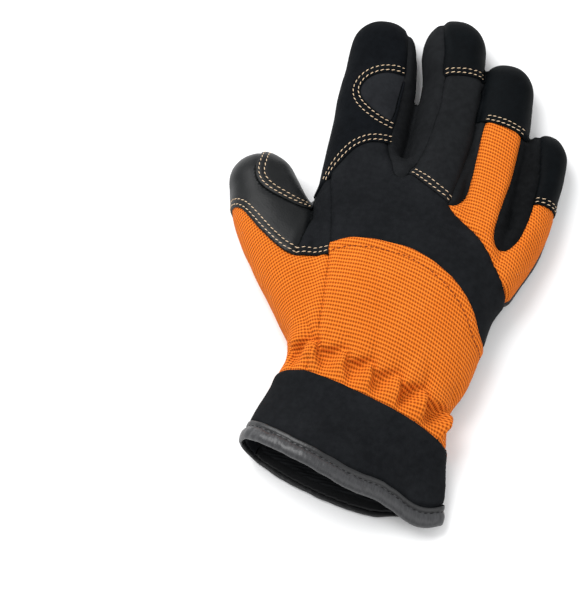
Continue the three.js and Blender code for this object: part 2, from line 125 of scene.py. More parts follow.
def hump(value, middle, width):
    """1 at the middle, falling to nothing within a few widths."""
    return np.exp(-((value - middle) / width) ** 2)


def unit(vector):
    return vector / np.linalg.norm(vector)


def in_frame(point):
    """A point of the tables, in millimetres, as a place in the frame, in metres."""
    return (point + Vector(TABLE_ORIGIN)) * MM


def in_tables(place):
    return place / MM - Vector(TABLE_ORIGIN)


def values_of(rows, key, width=1, kind=float):
    """One value of every row of a mesh's data, as an array."""
    found = np.empty((len(rows), width), kind)
    rows.foreach_get(key, found.ravel())
    return found if width > 1 else found[:, 0]


def row_at(rows, at):
    """A row of a table between two others, on a curve through all the rows."""
    last = len(rows) - 1
    i = max(min(int(at), last - 1), 0)
    t = at - i
    a, b, c, d = (rows[min(max(k, 0), last)] for k in (i - 1, i, i + 1, i + 2))
    found = {}
    for name in a:
        curve = (2 * a[name] - 5 * b[name] + 4 * c[name] - d[name]) * t * t
        curve += (3 * b[name] - a[name] - 3 * c[name] + d[name]) * t ** 3
        found[name] = 0.5 * (2 * b[name] + (c[name] - a[name]) * t + curve)
    return found


def hem_sway(u, s, upper):
    """How far a fully flattened hem lies further up the glove, across its upper and under sides."""
    crest = 2.6 * hump(u, 0.40, 0.24)
    corner = 4.6 * s * hump(u, 0.86, 0.22)
    under = 5 * s * smoothstep(0.3, 0.8, u) + 1.2 * s
    return np.where(upper, crest - corner, under)


def section(centre, across, half_width, height, edge, sides,
            lean=0, flat=0, lift=0, bow=0, recess=0, grow=0):
    """The points round a lying tube: round above, flat below."""
    angle = np.arange(sides) / sides * 2 * math.pi
    c = np.cos(angle)
    s = np.abs(np.sin(angle))
    u = np.sign(c) * np.abs(c) ** BOXINESS
    top_side = np.sin(angle) >= 0
    lower = 1 - flat * smoothstep(*FLATTENED, u)
    spread = np.minimum(1, s * 1.5)
    top = (edge + (height - edge) * s ** BOXINESS) * lower + grow * spread
    under = edge * (1 - np.minimum(1, FLAT_SHARE * s)) * lower - grow * spread
    shift = lean * half_width * np.where(top_side, s, 0)
    out = u * (half_width + grow) + shift
    points = np.empty((sides, 3))
    points[:, 0] = centre[0] + across[0] * out
    drawn_back = recess * s * (1 - OVERREACH * (1 - lower))
    points[:, 1] = centre[1] + across[1] * out + bow * (1 - u * u) + np.where(top_side, drawn_back, 0)
    points[:, 1] += flat * hem_sway(u, s, top_side)
    points[:, 2] = np.where(top_side, top, under) + lift
    return points


def row_ends(row, further=0.0):
    """The left and right end of a section."""
    return [np.array((row[side + "_x"] * PALM_WIDTH, row[side + "_y"] * GLOVE_LENGTH + further))
            for side in ("left", "right")]


def body_ring(at, further=0.0):
    row = row_at(BODY_ROWS, at)
    left, right = row_ends(row, further)
    across = right - left
    return section(
        (left + right) / 2, unit(across), np.linalg.norm(across) / 2,
        row["height"] * HAND_HEIGHT, row["edge"] * HAND_HEIGHT, BODY_SIDES,
        flat=max(row["flat"], 0), lift=max(row["lift"], 0) * HAND_HEIGHT,
        bow=row["bow"] * GLOVE_LENGTH, recess=row["recess"] * GLOVE_LENGTH)


def loft(name, rings):
    """A closed solid through rings of equally many points."""
    bm = bmesh.new()
    loops = []
    for k, points in enumerate(rings):
        ends = k in (0, len(rings) - 1)
        made = bmesh.ops.create_circle(bm, cap_ends=ends, segments=len(points), radius=1)
        for vert, point in zip(made["verts"], points):
            vert.co = point
        loops.append(list({e for v in made["verts"] for e in v.link_edges}))
    for first, second in zip(loops, loops[1:]):
        bmesh.ops.bridge_loops(bm, edges=first + second)
    bmesh.ops.recalc_face_normals(bm, faces=bm.faces)
    return finished(name, bm)


def workpiece(name, mesh):
    obj = bpy.data.objects.new(name, mesh)
    bpy.context.scene.collection.objects.link(obj)
    return obj


def finished(name, bm):
    """The object of a finished bmesh."""
    mesh = bpy.data.meshes.new(name)
    bm.to_mesh(mesh)
    bm.free()
    return workpiece(name, mesh)


def settled(obj):
    """The object with its modifiers applied."""
    bpy.context.view_layer.update()
    graph = bpy.context.evaluated_depsgraph_get()
    mesh = bpy.data.meshes.new_from_object(obj.evaluated_get(graph))
    obj.modifiers.clear()
    obj.data = mesh
    return obj


def combine(obj, other, operation):
    """Cuts the other solid out of obj, or joins it on."""
    modifier = obj.modifiers.new(operation.lower(), "BOOLEAN")
    modifier.operation = operation
    modifier.solver = "MANIFOLD"
    modifier.object = other
    return settled(obj)


def drop(*objects):
    for obj in objects:
        bpy.data.objects.remove(obj)


def body_solid():
    steps_a_row = 4
    rings = [body_ring(0, further=-past) for past in (9, 6, 3)]
    for k in range((len(BODY_ROWS) - 1) * steps_a_row + 1):
        rings.append(body_ring(k / steps_a_row))
    return loft("body", rings)


def finger_solid(name, grow=0.0):
    rows = [dict(zip(FINGER_COLUMNS, row)) for row in FINGER_ROWS[name]]
    tip = np.array((FINGER_TIPS[name][0] * PALM_WIDTH, FINGER_TIPS[name][1] * GLOVE_LENGTH))
    last = len(rows) - 1
    steps_a_row = 5
    tip_rings = 9

    def middle(at):
        row = row_at(rows, at)
        return np.array((row["x"] * PALM_WIDTH, row["y"] * GLOVE_LENGTH))

    def ring(at, centre, along, shrink):
        row = row_at(rows, at)
        height = row["height"] * HAND_HEIGHT
        edge = height * FINGER_EDGE
        return section(
            centre, (along[1], -along[0]), row["width"] * PALM_WIDTH / 2 * shrink,
            edge + (height - edge) * shrink, edge, FINGER_SIDES, lean=row["lean"], grow=grow * shrink)

    rings = []
    for k in range(last * steps_a_row + 1):
        at = k / steps_a_row
        along = unit(middle(min(at + 0.2, last)) - middle(max(at - 0.2, 0)))
        rings.append(ring(at, middle(at), along, 1))
    base = middle(last)
    reach = tip - base
    longer = 1 + grow / np.linalg.norm(reach)
    for k in range(1, tip_rings + 1):
        angle = k / (tip_rings + 0.35) * math.pi / 2
        rings.append(ring(last, base + reach * math.sin(angle) * longer, unit(reach), math.cos(angle)))
    return loft(name, rings)


def hand_solid():
    """Palm, cuff and fingers as one solid skin, each finger clear of its neighbour."""
    fingers = {name: finger_solid(name) for name in FINGER_ROWS}
    middle_clear = finger_solid("middle", FINGER_GAP)
    ring_cover = combine(finger_solid("ring", FINGER_GAP), fingers["middle"], "DIFFERENCE")
    combine(fingers["index"], middle_clear, "DIFFERENCE")
    combine(fingers["ring"], middle_clear, "DIFFERENCE")
    combine(fingers["little"], ring_cover, "DIFFERENCE")
    hand = body_solid()
    for finger in fingers.values():
        combine(hand, finger, "UNION")
    drop(middle_clear, ring_cover, *fingers.values())
    remesh = hand.modifiers.new("skin", "REMESH")
    remesh.mode = "VOXEL"
    remesh.voxel_size = VOXEL
    return settled(hand)


class Skin:
    """Points, faces and edges of a mesh as arrays, so that its points can be moved quickly."""

    def __init__(self, mesh):
        self.points = values_of(mesh.vertices, "co", 3)
        self.faces = [tuple(p.vertices) for p in mesh.polygons]
        self.corners = np.array([face if len(face) == 4 else face + face[-1:] for face in self.faces])
        pairs = {}
        for f, face in enumerate(self.faces):
            for a, b in zip(face, face[1:] + face[:1]):
                pairs.setdefault((min(a, b), max(a, b)), []).append(f)
        self.edges = np.array(list(pairs))
        self.sides = np.array([(s[0], s[1] if len(s) > 1 else -1) for s in pairs.values()])

    def centres(self):
        return self.points[self.corners].mean(axis=1)

    def facing(self):
        """The way that each face looks, longer for a larger face."""
        a, b, c, d = (self.points[self.corners[:, k]] for k in range(4))
        return np.cross(c - a, d - b)

    def face_normals(self):
        facing = self.facing()
        return facing / np.maximum(np.linalg.norm(facing, axis=1), 1e-9)[:, None]

    def normals(self):
        """Unit normals at the points, larger faces counting more."""
        total = np.zeros_like(self.points)
        facing = self.facing()
        for corner in range(4):
            for axis in range(3):
                total[:, axis] += np.bincount(self.corners[:, corner], facing[:, axis], len(self.points))
        return total / np.maximum(np.linalg.norm(total, axis=1), 1e-9)[:, None]

    def relax(self, times, edges=None, moving=None, strength=0.5):
        """Moves points towards the middle of their neighbours along the given edges."""
        edges = self.edges if edges is None else edges
        count = np.bincount(edges.ravel(), minlength=len(self.points)).astype(float)
        free = count > 0 if moving is None else moving & (count > 0)
        for _ in range(times):
            total = np.zeros_like(self.points)
            for axis in range(3):
                for near, far in ((0, 1), (1, 0)):
                    values = self.points[edges[:, far], axis]
                    total[:, axis] += np.bincount(edges[:, near], values, len(self.points))
            mean = total[free] / count[free, None]
            self.points[free] += (mean - self.points[free]) * strength

    def tree(self):
        return BVHTree.FromPolygons([tuple(p) for p in self.points], self.faces)

    def past_hem(self):
        """How far up the glove from its hem each point lies."""
        return self.points[:, 1] - hem_line(self.points[:, 0], self.normals()[:, 2] > 0)


def laid_on(ground, points):
    """The places on a surface that lie nearest to some points."""
    return np.array([tuple(ground.find_nearest(Vector(p))[0]) for p in points])


# Which node each stretch of the skin belongs to
LINED = ("cuff_binding", "cuff_lining")
PANELS = [name for name in frame["nodes"] if name not in LINED]


def nearest_panel():
    """A tree of the frame's panels, and the panel of each of its faces."""
    places, faces, owner = [], [], []
    for number, name in enumerate(PANELS):
        mesh = frame["nodes"][name].data
        start = len(places)
        places += [in_tables(v.co) for v in mesh.vertices]
        faces += [tuple(start + v for v in p.vertices) for p in mesh.polygons]
        owner += [number] * len(mesh.polygons)
    return BVHTree.FromPolygons(places, faces), owner


def hem_line(x, upper):
    """How far along the glove its hem lies, at a place across it."""
    row = BODY_ROWS[0]
    left, right = row_ends(row)
    u = np.clip((x - (left[0] + right[0]) / 2) / ((right[0] - left[0]) / 2), -1, 1)
    straight = left[1] + (right[1] - left[1]) * (u + 1) / 2
    turn = 1 - OVERREACH * row["flat"] * smoothstep(*FLATTENED, u)
    s = np.sqrt(1 - u * u)
    bow = row["bow"] * GLOVE_LENGTH * (1 - u * u)
    recess = np.where(upper, row["recess"] * GLOVE_LENGTH * s * turn, 0)
    return straight + bow + recess + row["flat"] * hem_sway(u, s, upper)


def trim_hem(mesh):
    """Cuts the closed skin off at the hem."""
    bm = bmesh.new()
    bm.from_mesh(mesh)
    outside = []
    for face in bm.faces:
        x, y, _ = face.calc_center_median()
        if y < hem_line(x, face.normal.z > 0):
            outside.append(face)
    bmesh.ops.delete(bm, geom=outside, context="FACES")
    bm.to_mesh(mesh)
    bm.free()


def even_hem(skin):
    """Draws the stepped open edge of the skin onto the hem's line."""
    rim = spaced(body_ring(0), 0.15, closed=True)
    open_edges = skin.edges[skin.sides[:, 1] < 0]
    at_edge = np.unique(open_edges)
    for _ in range(3):
        _, nearest = distances(skin.points[at_edge], rim, 5)
        skin.points[at_edge] = rim[nearest]
        skin.relax(6, open_edges)
    _, nearest = distances(skin.points[at_edge], rim, 5)
    skin.points[at_edge] = rim[nearest]
    close = skin.past_hem() < 4
    close[at_edge] = False
    skin.relax(6, moving=close)


VOTE_ROUNDS = 6          # how often each face takes the panel that most faces round it have
SMALLEST_ISLAND = 150    # a patch with fewer faces joins the panel round it
ISLAND_ROUNDS = 3
CORNER_ROUNDS = 12


def label_faces(skin):
    """The panel of each face, with even borders and without stray islands."""
    tree, owner = nearest_panel()
    labels = np.array([owner[tree.find_nearest(Vector(c))[2]] for c in skin.centres()])
    for _ in range(VOTE_ROUNDS):
        votes = np.zeros((len(skin.points), len(PANELS)))
        for corner in range(4):
            np.add.at(votes, (skin.corners[:, corner], labels), 1)
        labels = votes[skin.corners].sum(axis=1).argmax(axis=1)
    a, b = skin.sides[skin.sides[:, 1] >= 0].T
    join_islands(labels, a, b)
    join_corners(labels, a, b)
    return labels


def patches(labels, a, b):
    """A number for each face that it shares with its whole patch. Faces a touch faces b."""
    same = labels[a] == labels[b]
    group = np.arange(len(labels))
    while True:
        low = np.minimum(group[a[same]], group[b[same]])
        before = group.copy()
        np.minimum.at(group, a[same], low)
        np.minimum.at(group, b[same], low)
        group = group[group]
        if (group == before).all():
            return group


def join_islands(labels, a, b):
    """Gives small patches to the panel round them."""
    for _ in range(ISLAND_ROUNDS):
        group = patches(labels, a, b)
        small = np.bincount(group, minlength=len(labels))[group] < SMALLEST_ISLAND
        if not small.any():
            break
        for f, g in zip(np.concatenate((a, b)), np.concatenate((b, a))):
            if small[f] and not small[g]:
                labels[f] = labels[g]


def join_corners(labels, a, b):
    """Gives single faces that stick out of their panel to the panel beside them."""
    for _ in range(CORNER_ROUNDS):
        same = labels[a] == labels[b]
        own = np.bincount(np.concatenate((a[same], b[same])), minlength=len(labels))
        for f, g in ((a, b), (b, a)):
            sticks_out = ~same & (own[f] < 2) & (own[g] >= 2)
            labels[f[sticks_out]] = labels[g[sticks_out]]


def seam_edges(skin, labels):
    """Edges between two panels, with the two panels of each."""
    inner = skin.sides[:, 1] >= 0
    pair = np.where(inner[:, None], labels[skin.sides], -1)
    pair[~inner, 0] = labels[skin.sides[~inner, 0]]
    on_seam = inner & (pair[:, 0] != pair[:, 1])
    return skin.edges[on_seam], np.sort(pair[on_seam], axis=1)


def even_seams(skin, labels):
    """Draws the stepped edges between panels into smooth lines on the skin."""
    ground = skin.tree()
    edges, _ = seam_edges(skin, labels)
    ends = np.bincount(edges.ravel(), minlength=len(skin.points))
    meeting = np.zeros((len(skin.points), len(PANELS)), bool)
    for corner in range(4):
        meeting[skin.corners[:, corner], labels] = True
    line = (ends >= 2) & (meeting.sum(axis=1) == 2)
    for _ in range(4):
        skin.relax(10, edges, line)
        skin.relax(3, moving=(ends == 0), strength=0.4)
        skin.points[ends > 0] = laid_on(ground, skin.points[ends > 0])
    untangle(skin, ground, ends > 0)


def untangle(skin, ground, line):
    """Opens faces that were turned over when the lines were drawn smooth."""
    watched = np.flatnonzero(line[skin.corners].any(axis=1))
    for _ in range(8):
        wanted = np.array([ground.find_nearest(Vector(c))[1] for c in skin.centres()[watched]])
        tangled = watched[(skin.face_normals()[watched] * wanted).sum(axis=1) < 0.5]
        if len(tangled) == 0:
            break
        near = np.zeros(len(skin.points), bool)
        near[skin.corners[tangled]] = True
        near[skin.edges[near[skin.edges].any(axis=1)]] = True
        skin.relax(5, moving=near)
        skin.points[near] = laid_on(ground, skin.points[near])


# How the panels are sewn: the first of each pair lies on top and has an edge turned under
LAPPED = (
    ("index_wrap", "knuckle_band"), ("index_wrap", "index_patch"), ("index_wrap", "side_strip"),
    ("middle_tip_cap", "middle_back"), ("ring_tip_cap", "finger_back_panel"),
    ("little_tip_cap", "finger_back_panel"), ("middle_back", "knuckle_band"), ("thumb_tip", "thumb_back"),
    ("thumb_back", "thumb_panel"), ("side_strip", "thumb_panel"), ("back_panel", "knuckle_band"),
    ("back_panel", "side_strip"), ("cuff_band", "back_panel"), ("cuff_band", "thumb_panel"),
)
LAP_RISE = 0.5           # how far a lapped edge stands over the panel under it
LAP_TURN = 0.3           # how far its very edge is turned down
LAP_PRESS = 0.25         # how far it presses the panel under it in
SEAM_DIP = 0.65          # how deep a plain seam is drawn in
SEAM_REACH = 1.0
SEAM_PUFF = 0.15         # how far the cloth beside a plain seam stands up
STITCH_DIP = 0.25        # how deep a row of stitches is drawn in
ELASTIC_OFFSET = 10.5    # from the cuff's seam to the line of elastic thread
FOLD_STEP = 10.4         # from one gathered fold to the next
FOLD_HEIGHT = 6.2        # between the elastic and the cuff
PUFF_HEIGHT = 3.0        # above the elastic
PUFF_REACH = 13
GATHERED_BELOW = 75      # no fold reaches further up the glove
FOLD_STEEP = 0.76        # share of a fold that rises; the rest falls steeply
FOLD_SLANT = 0.32        # how far the folds lean along the cuff, as a share of their length
FOLD_SLIDE = 0.9         # how far a fold leans over the next one
PINCH = 1.2              # how deep the elastic draws the knit in
ZIGZAG = 1.8             # how far the line of elastic sways between folds
WEB_REACH = 6.5          # the forks between fingers are smoothed within this
# The three forks between the fingers and the one at the thumb, as shares of width and length
WEBS = ((-0.075, 0.585), (0.20, 0.545), (0.46, 0.476), (-0.44, 0.47))


def ordered_line(skin, edges):
    """The points of a seam in order, from one end to the other."""
    links = {}
    for a, b in edges:
        links.setdefault(int(a), []).append(int(b))
        links.setdefault(int(b), []).append(int(a))
    best = []
    unseen = set(links)
    while unseen:
        ends = [v for v in unseen if len(links[v]) == 1]
        here = min(ends) if ends else min(unseen)
        line, seen = [here], {here}
        while True:
            ahead = [v for v in links[here] if v not in seen]
            if not ahead:
                break
            here = ahead[0]
            seen.add(here)
            line.append(here)
        unseen -= seen
        if len(line) > len(best):
            best = line
    return skin.points[best]


def spaced(points, step, closed=False):
    """The same line with evenly spaced points."""
    if closed:
        points = np.vstack((points, points[:1]))
    along = np.concatenate(([0], np.cumsum(np.linalg.norm(np.diff(points, axis=0), axis=1))))
    count = max(int(round(along[-1] / step)), 2)
    at = np.linspace(0, along[-1], count + 1)
    if closed:
        at = at[:-1]
    return np.column_stack([np.interp(at, along, points[:, axis]) for axis in range(3)])


def eased(points, times, closed=False):
    """The same line, smoother, with its ends kept."""
    points = points.copy()
    for _ in range(times):
        if closed:
            points = (np.roll(points, 1, axis=0) + np.roll(points, -1, axis=0) + 2 * points) / 4
        else:
            points[1:-1] = (points[:-2] + points[2:] + 2 * points[1:-1]) / 4
    return points


def point_tree(points):
    tree = KDTree(len(points))
    for i, p in enumerate(points):
        tree.insert(p, i)
    tree.balance()
    return tree


def distances(points, targets, limit):
    """How far each point lies from the nearest target, and which one that is."""
    far = np.full(len(points), float(limit))
    which = np.zeros(len(points), int)
    if len(targets) == 0:
        return far, which
    tree = point_tree(targets)
    for i, p in enumerate(points):
        _, index, distance = tree.find(p)
        which[i] = index
        far[i] = min(distance, limit)
    return far, which


def fold_at(place, distance):
    """How far the knit rises and slides at a place along the cuff's seam, a distance above it."""
    beyond = distance - ELASTIC_OFFSET - 1.2 * noise.noise((place * 0.13, 3.1, 0.0))
    uneven = 2.4 * noise.noise((place * 0.075, 0.4, 1.9))
    bend = 1.1 * noise.noise((place * 0.2, distance * 0.22, 7.7))
    turn = ((place + uneven + bend + FOLD_SLANT * beyond) / FOLD_STEP) % 1
    rising = turn / FOLD_STEEP if turn < FOLD_STEEP else (1 - turn) / (1 - FOLD_STEEP)
    beyond -= ZIGZAG * (2 * rising - 1)
    number = math.floor((place + uneven) / FOLD_STEP)
    size = min(max(0.9 + 0.8 * noise.noise((number * 1.7, 5.0, 2.0)), 0.6), 1.25)
    wide = 0.5 + 0.45 * smoothstep(0, 8, -beyond)
    tooth = max(rising - (1 - wide), 0) / wide if turn < FOLD_STEEP else rising
    tooth = smoothstep(-0.1, 1.1, tooth)
    if beyond < 0:
        height = FOLD_HEIGHT * size * (tooth - 0.4) * (0.08 + 0.92 * smoothstep(0, 7, distance))
        height *= smoothstep(-0.3, 1.6, -beyond)
    else:
        puff = abs(math.sin(math.pi * (turn - FOLD_STEEP))) ** 0.8
        fade = math.exp(-(beyond / PUFF_REACH) ** 1.4 * 1.8)
        height = PUFF_HEIGHT * size * (puff - 0.3) * fade * smoothstep(-0.3, 2.0, beyond)
    slide = FOLD_SLIDE * (tooth - 0.5) * hump(beyond, 0, 9) * smoothstep(0, 3.5, distance)
    return height - PINCH * hump(beyond, 0, 1.1), slide


def gather(skin, labels, seams):
    """Folds of the knit above the cuff, drawn together by a line of elastic."""
    line = np.vstack((seams[("cuff_band", "thumb_panel")], seams[("back_panel", "cuff_band")]))
    step = 0.5
    line = spaced(eased(line[np.argsort(line[:, 0])], 6), step)
    knit = np.isin(labels, [PANELS.index(n) for n in ("back_panel", "thumb_panel")])
    touched = np.unique(skin.corners[knit])
    touched = touched[skin.points[touched, 1] < GATHERED_BELOW]
    normals = skin.normals()[touched]
    away, which = distances(skin.points[touched], line, 60)
    along = which * step
    rises, slides = np.array([fold_at(*spot) for spot in zip(along, away)]).T
    hold = smoothstep(3, 8, skin.points[touched, 2]) * smoothstep(0.1, 0.6, normals[:, 2])
    hold *= 0.1 + 0.9 * smoothstep(3, 15, along)
    hold *= 0.45 + 0.55 * smoothstep(2, 9, len(line) * step - along)
    rises = rises * hold
    slides = slides * hold
    across = unit(line[-1] - line[0])
    skin.points[touched] += normals * rises[:, None] + across * slides[:, None]
    moved = np.zeros(len(skin.points), bool)
    moved[touched[(np.abs(rises) > 0.05) & (away > 0.9)]] = True
    skin.relax(2, moving=moved)


def soften(skin):
    """Slack in the cloth, so that no stretch is perfectly even."""
    normals = skin.normals()
    hold = smoothstep(0.2, 3, skin.points[:, 2]) * smoothstep(3, 14, skin.past_hem())
    for i, (p, share) in enumerate(zip(skin.points, hold)):
        broad = noise.noise(Vector(p) / 17) * 0.5
        fine = noise.noise(Vector(p) / 6.5 + Vector((9, 2, 5))) * 0.18
        skin.points[i] += normals[i] * ((broad + fine) * share)


def smooth_webs(skin):
    """Rounds the forks between the fingers, where the ends of the joined forms meet."""
    for x, y in WEBS:
        far = np.hypot(skin.points[:, 0] - x * PALM_WIDTH, skin.points[:, 1] - y * GLOVE_LENGTH)
        for share, times in ((1.0, 12), (0.6, 14)):
            skin.relax(times, moving=far < WEB_REACH * share)


def edit_whole(obj, tool, **settings):
    """Uses an edit tool on the whole mesh of an object."""
    bpy.ops.object.select_all(action="DESELECT")
    obj.select_set(True)
    bpy.context.view_layer.objects.active = obj
    bpy.ops.object.mode_set(mode="EDIT")
    bpy.ops.mesh.select_all(action="SELECT")
    tool(**settings)
    bpy.ops.object.mode_set(mode="OBJECT")


def cut_panels(hand, skin, labels):
    """The skin cut into one object a panel, by its name."""
    mesh = hand.data
    mesh.vertices.foreach_set("co", skin.points.ravel())
    for name in PANELS:
        mesh.materials.append(bpy.data.materials.new(name))
    mesh.polygons.foreach_set("material_index", labels)
    numbers = np.arange(len(skin.points))
    mesh.attributes.new("skin_point", "INT", "POINT").data.foreach_set("value", numbers)
    mesh.attributes.new("panel", "INT", "FACE").data.foreach_set("value", labels)
    edit_whole(hand, bpy.ops.mesh.separate, type="MATERIAL")
    cut = {}
    for obj in bpy.context.scene.objects:
        if obj.type == "MESH" and "skin_point" in obj.data.attributes:
            cut[PANELS[obj.data.attributes["panel"].data[0].value]] = obj
    return cut


def skin_numbers(obj):
    """Which point of the skin each point of a panel was."""
    return values_of(obj.data.attributes["skin_point"].data, "value", kind=int)


def open_folds(piece, normals):
    """Opens what is left of faces turned over."""
    wanted = normals[piece.corners].mean(axis=1)
    for _ in range(12):
        tangled = (piece.face_normals() * wanted).sum(axis=1) < 0.3
        if not tangled.any():
            break
        near = np.zeros(len(piece.points), bool)
        near[piece.corners[tangled]] = True
        piece.relax(3, moving=near)


def shape_panel(obj, name, skin, normals, seams, rows):
    """Turns or draws in the panel's edges, and draws in its rows of stitches."""
    used = skin_numbers(obj)
    points, normals = skin.points[used], normals[used]
    near = {"above": [], "under": [], "plain": [], "sewn": rows}
    for pair, line in seams.items():
        if name in pair:
            other = pair[0] if pair[1] == name else pair[1]
            kind = "above" if (name, other) in LAPPED else "under" if (other, name) in LAPPED else "plain"
            near[kind].append(line)
    reach = {}
    for kind, lines in near.items():
        targets = np.vstack([spaced(line, 0.4) for line in lines]) if lines else []
        reach[kind] = distances(points, targets, 20)[0]
    move = LAP_RISE * (1 - smoothstep(0.5, 6, reach["above"]))
    move -= LAP_TURN * hump(reach["above"], 0, 0.45)
    move -= LAP_PRESS * (1 - smoothstep(0, 2.5, reach["under"]))
    move -= SEAM_DIP * hump(reach["plain"], 0, SEAM_REACH)
    move += SEAM_PUFF * hump(reach["plain"], 2.8, 1.4)
    move -= STITCH_DIP * hump(reach["sewn"], 0, 0.55)
    move -= UNDER_TAPE * (1 - smoothstep(TAPE_WIDTH - 0.8, TAPE_WIDTH + 1.2, skin.past_hem()[used]))
    piece = Skin(obj.data)
    piece.points = points + normals * move[:, None]
    open_folds(piece, normals)
    points = piece.points
    points[:, 2] = np.maximum(points[:, 2], FLOOR_CLEARANCE)
    put(obj, points)
    for extra in ("skin_point", "panel"):
        obj.data.attributes.remove(obj.data.attributes[extra])
    return points


def put(obj, points):
    """Puts the mesh's points, in the tables' millimetres, into the frame in metres."""
    obj.data.vertices.foreach_set("co", ((points + np.array(TABLE_ORIGIN)) * MM).ravel())
    obj.data.update()
    obj.data.shade_smooth()


def dress(obj, name, nodes, material):
    """Gives a piece its name, its place in the frame and its finish."""
    obj.name = obj.data.name = name
    obj.data.materials.clear()
    obj.data.materials.append(material)
    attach(obj, "root")
    if nodes:
        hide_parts(*nodes)
    return obj


def thicken(obj, thickness):
    modifier = obj.modifiers.new("thickness", "SOLIDIFY")
    modifier.thickness = thickness * MM
    modifier.offset = -1
    modifier.use_even_offset = False


def rest_on_floor(obj):
    """Settles the piece's thickness, so that nothing of it lies below the floor."""
    settled(obj)
    obj.data.name = obj.name
    for vert in obj.data.vertices:
        vert.co.z = max(vert.co.z, FLOOR_CLEARANCE * MM)


def lean_of(across, name):
    """How far the knit's rows have sunk at a place across a panel, which gives them their slope."""
    if name == "back_panel":
        return 0.0049 * np.maximum(across - 5, 0) ** 2
    if name == "thumb_panel":
        left = np.maximum(across.max() - across, 0)
        return 0.95 * (left + 14 * np.exp(-(left + 3) / 14))
    return 0.2 * across + 0.01 * np.maximum(across - 6, 0) ** 2


def lay_flat(obj, name, smooth_points):
    """Unwraps a panel, without its folds, in millimetres and with its ribs across the hand."""
    put(obj, smooth_points[skin_numbers(obj)])
    obj.data.uv_layers.new(name="cloth")
    edit_whole(obj, bpy.ops.uv.unwrap, method="ANGLE_BASED", margin=0)
    layer = obj.data.uv_layers["cloth"]
    flat = values_of(layer.data, "uv", 2)
    flat = flat[:, 0] + 1j * flat[:, 1]
    corner = values_of(obj.data.loops, "vertex_index", kind=int)
    places = values_of(obj.data.vertices, "co", 3)
    plan = (places[:, 0] + 1j * places[:, 1])[corner] / MM
    centred = flat - flat.mean()
    scale = (np.conj(centred) * (plan - plan.mean())).sum() / (abs(centred) ** 2).sum()
    true_size = math.sqrt(sum(p.area for p in obj.data.polygons)) / MM
    laid = centred * (scale / abs(scale) * true_size / math.sqrt(uv_area(obj, centred)))
    across = laid.real - laid.real.min()
    columns = 0.9 * across + 0.4 * laid.imag if name == "thumb_panel" else across
    layer.data.foreach_set("uv", np.column_stack((columns, laid.imag + lean_of(across, name))).ravel())


def uv_area(obj, flat):
    """The area of an unwrapped panel, its places given as complex numbers."""
    total = 0.0
    for p in obj.data.polygons:
        w = flat[p.loop_start:p.loop_start + p.loop_total]
        total += abs((w.conj() * np.roll(w, -1)).imag.sum()) / 2
    return total


class Finish:
    """A material built from nodes, one short call a node."""

    def __init__(self, name, roughness, specular, color=None):
        self.material = bpy.data.materials.new(name)
        self.material.use_nodes = True
        self.tree = self.material.node_tree
        self.shader = self.tree.nodes["Principled BSDF"]
        self.shader.inputs["Roughness"].default_value = roughness
        self.shader.inputs["Specular IOR Level"].default_value = specular
        if color:
            self.shader.inputs["Base Color"].default_value = (*color, 1)
        places = self.tree.nodes.new("ShaderNodeTexCoord")
        self.object = places.outputs["Object"]
        self.cloth = places.outputs["UV"]

    def feed(self, socket, value):
        if hasattr(value, "is_output"):
            self.tree.links.new(value, socket)
        else:
            socket.default_value = value

    def node(self, kind, sockets, output=0, **settings):
        """One output of a new node whose sockets are set, or linked to other outputs."""
        node = self.tree.nodes.new(kind)
        for setting, value in settings.items():
            setattr(node, setting, value)
        for socket, value in sockets.items():
            self.feed(node.inputs[socket], value)
        return node.outputs[output]

    def math(self, operation, first, second=0.0):
        return self.node("ShaderNodeMath", {0: first, 1: second}, operation=operation)

    def noise(self, scale, detail=2.0, roughness=0.5, places=None):
        places = self.object if places is None else places
        sockets = {"Vector": places, "Scale": scale, "Detail": detail, "Roughness": roughness}
        return self.node("ShaderNodeTexNoise", sockets, "Fac")

    def parts(self, vector):
        node = self.tree.nodes.new("ShaderNodeSeparateXYZ")
        self.feed(node.inputs[0], vector)
        return node.outputs

    def ramp(self, value, low, high, from_low=0.0, from_high=1.0):
        return self.node("ShaderNodeMapRange", {
            "Value": value, "From Min": from_low, "From Max": from_high, "To Min": low, "To Max": high})

    def mix(self, share, first, second):
        """The first colour turning into the second, each an output or three numbers."""
        first, second = (c if hasattr(c, "is_output") else (*c, 1) for c in (first, second))
        return self.node("ShaderNodeMix", {"Factor": share, 6: first, 7: second}, 2, data_type="RGBA")

    def color(self, value):
        self.feed(self.shader.inputs["Base Color"], value)

    def rough(self, value):
        self.feed(self.shader.inputs["Roughness"], value)

    def bump(self, height, depth, strength):
        """Relief of the given depth in millimetres, added to what is there."""
        current = self.shader.inputs["Normal"]
        sockets = {"Strength": strength, "Distance": depth * MM, "Height": height}
        if current.is_linked:
            sockets["Normal"] = current.links[0].from_socket
        self.tree.links.new(self.node("ShaderNodeBump", sockets), current)


